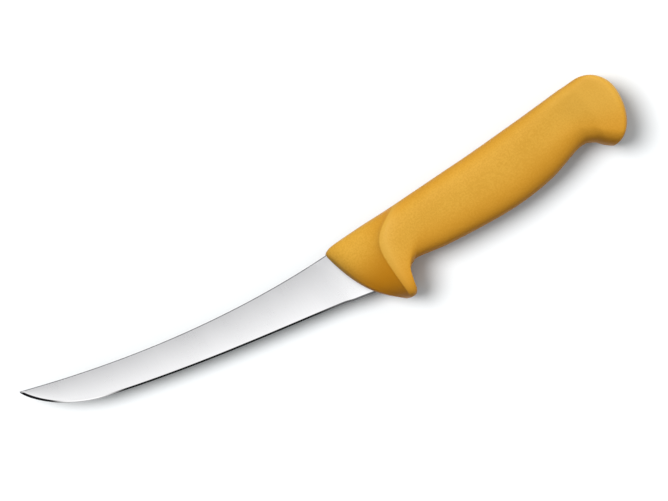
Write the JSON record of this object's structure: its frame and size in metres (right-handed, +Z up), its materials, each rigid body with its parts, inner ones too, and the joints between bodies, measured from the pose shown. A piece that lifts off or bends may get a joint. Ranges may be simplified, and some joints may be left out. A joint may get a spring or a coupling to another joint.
{
  "type": "boning knife",
  "caption": "Curved boning knife lying on its side: upswept steel blade in a moulded plastic handle with a finger guard, thumb ridge, grip and flared pommel.",
  "frame": {"origin": "middle of the whole knife's box at its lowest side: the point on the table under the middle of the knife as it lies on its flat side", "axes": "+X from the blade's tip to the butt along the handle's spine line, +Y from the cutting edge to the spine, +Z up, across the knife's thickness"},
  "size_m": [0.2882, 0.0614, 0.023],
  "materials": {
    "blade_steel": "finely ground and polished stainless steel",
    "core_polyamide": "natural moulded polyamide",
    "yellow_polyamide": "satin moulded polyamide with a fine non-slip grain"
  },
  "bodies": {
    "root": {"blade": "blade_steel", "handle_core": "core_polyamide", "handle_skin": "yellow_polyamide"}
  },
  "joints": []
}
